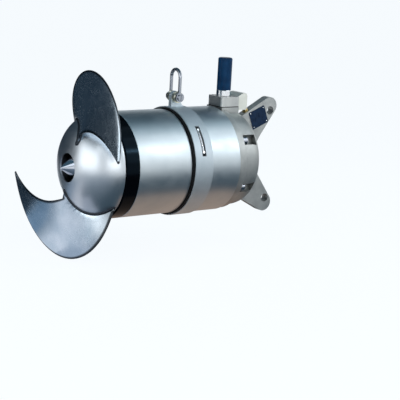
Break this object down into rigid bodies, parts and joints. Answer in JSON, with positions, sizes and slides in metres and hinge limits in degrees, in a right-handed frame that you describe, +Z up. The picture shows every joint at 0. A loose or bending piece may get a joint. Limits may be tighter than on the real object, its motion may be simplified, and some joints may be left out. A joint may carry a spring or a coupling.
{
  "type": "submersible mixer",
  "caption": "Compact submersible mixer: drum motor housing with an open two-blade back-swept propeller, a lifting shackle, a cable tail and a fork bracket that bolts to a guide rail slide.",
  "frame": {"origin": "midway between the two holes of the fork bracket, on the shaft axis and in the plate's middle plane", "axes": "+X along the shaft from the propeller to the bracket, +Y along the bracket holes, +Z up towards the shackle"},
  "size_m": [0.4895, 0.3758, 0.3797],
  "materials": {
    "housing_steel": "satin bead-blasted stainless",
    "hub_steel": "satin stainless",
    "blade_steel": "dark satin stainless",
    "bright_steel": "polished stainless",
    "ring_steel": "matte stainless",
    "cast_steel": "blasted cast stainless",
    "cap_metal": "matte",
    "black_coat": "gloss black",
    "rubber": "matte",
    "cable_sheath": "satin dark blue black",
    "brass": "satin",
    "machined_steel": "machined",
    "core_steel": "dull",
    "winding": "varnished copper",
    "board": "matte",
    "bolt_steel": "bright"
  },
  "bodies": {
    "housing": {"front_cover": "black_coat", "front_cover_screws": "bolt_steel", "outer_seal_seat": "core_steel", "front_o_ring": "rubber", "motor_housing": "housing_steel", "bearing_carrier": "cast_steel", "inner_seal_seat": "core_steel", "front_bearing_outer": "machined_steel", "stator_core": "core_steel", "stator_winding": "winding", "joint_gasket": "rubber", "lifting_ring": "ring_steel", "locking_wire": "bright_steel", "rear_housing": "housing_steel", "rear_bearing_carrier": "cast_steel", "rear_bearing_outer": "machined_steel", "terminal_board": "board", "terminal_studs": "brass", "cable_leads": "winding", "rear_o_ring": "rubber", "rear_cover": "cast_steel", "rear_cover_bolts": "bolt_steel", "bracket": "cast_steel", "cable_entry": "cast_steel", "entry_gasket": "rubber", "entry_screws": "bolt_steel", "entry_cap": "cap_metal", "gland_sleeve": "bright_steel", "gland_seal": "rubber", "cable": "cable_sheath", "earth_screw": "brass"},
    "propeller": {"nose_cone": "bright_steel", "propeller_hub": "hub_steel", "blade_a": "blade_steel", "blade_b": "blade_steel", "drive_key": "machined_steel", "shaft": "machined_steel", "rotor_core": "core_steel", "rotor_rings": "machined_steel", "front_bearing_inner": "machined_steel", "rear_bearing_inner": "machined_steel", "shaft_clip": "core_steel", "outer_seal_ring": "core_steel", "inner_seal_ring": "core_steel"},
    "front_balls": {"front_ball_set": "bright_steel"},
    "rear_balls": {"rear_ball_set": "bright_steel"},
    "shackle": {"shackle_bow": "bright_steel", "shackle_pin": "machined_steel", "shackle_washer": "brass", "shackle_nut": "bright_steel"}
  },
  "joints": [
    {"name": "propeller_spin", "type": "hinge", "parent": "housing", "child": "propeller", "pos_m": [-0.3, 0, 0], "axis": [1, 0, 0], "continuous": true},
    {"name": "front_ball_spin", "type": "hinge", "parent": "housing", "child": "front_balls", "pos_m": [-0.3225, 0, 0], "axis": [1, 0, 0], "continuous": true},
    {"name": "rear_ball_spin", "type": "hinge", "parent": "housing", "child": "rear_balls", "pos_m": [-0.1975, 0, 0], "axis": [1, 0, 0], "continuous": true},
    {"name": "shackle_swing", "type": "hinge", "parent": "housing", "child": "shackle", "pos_m": [-0.229, 0, 0.1235], "axis": [0, 1, 0], "range_deg": [-110, 107]}
  ],
  "couplings": [
    {"joint": "front_ball_spin", "follows": "propeller_spin", "ratio": 0.387},
    {"joint": "rear_ball_spin", "follows": "propeller_spin", "ratio": 0.3897}
  ]
}
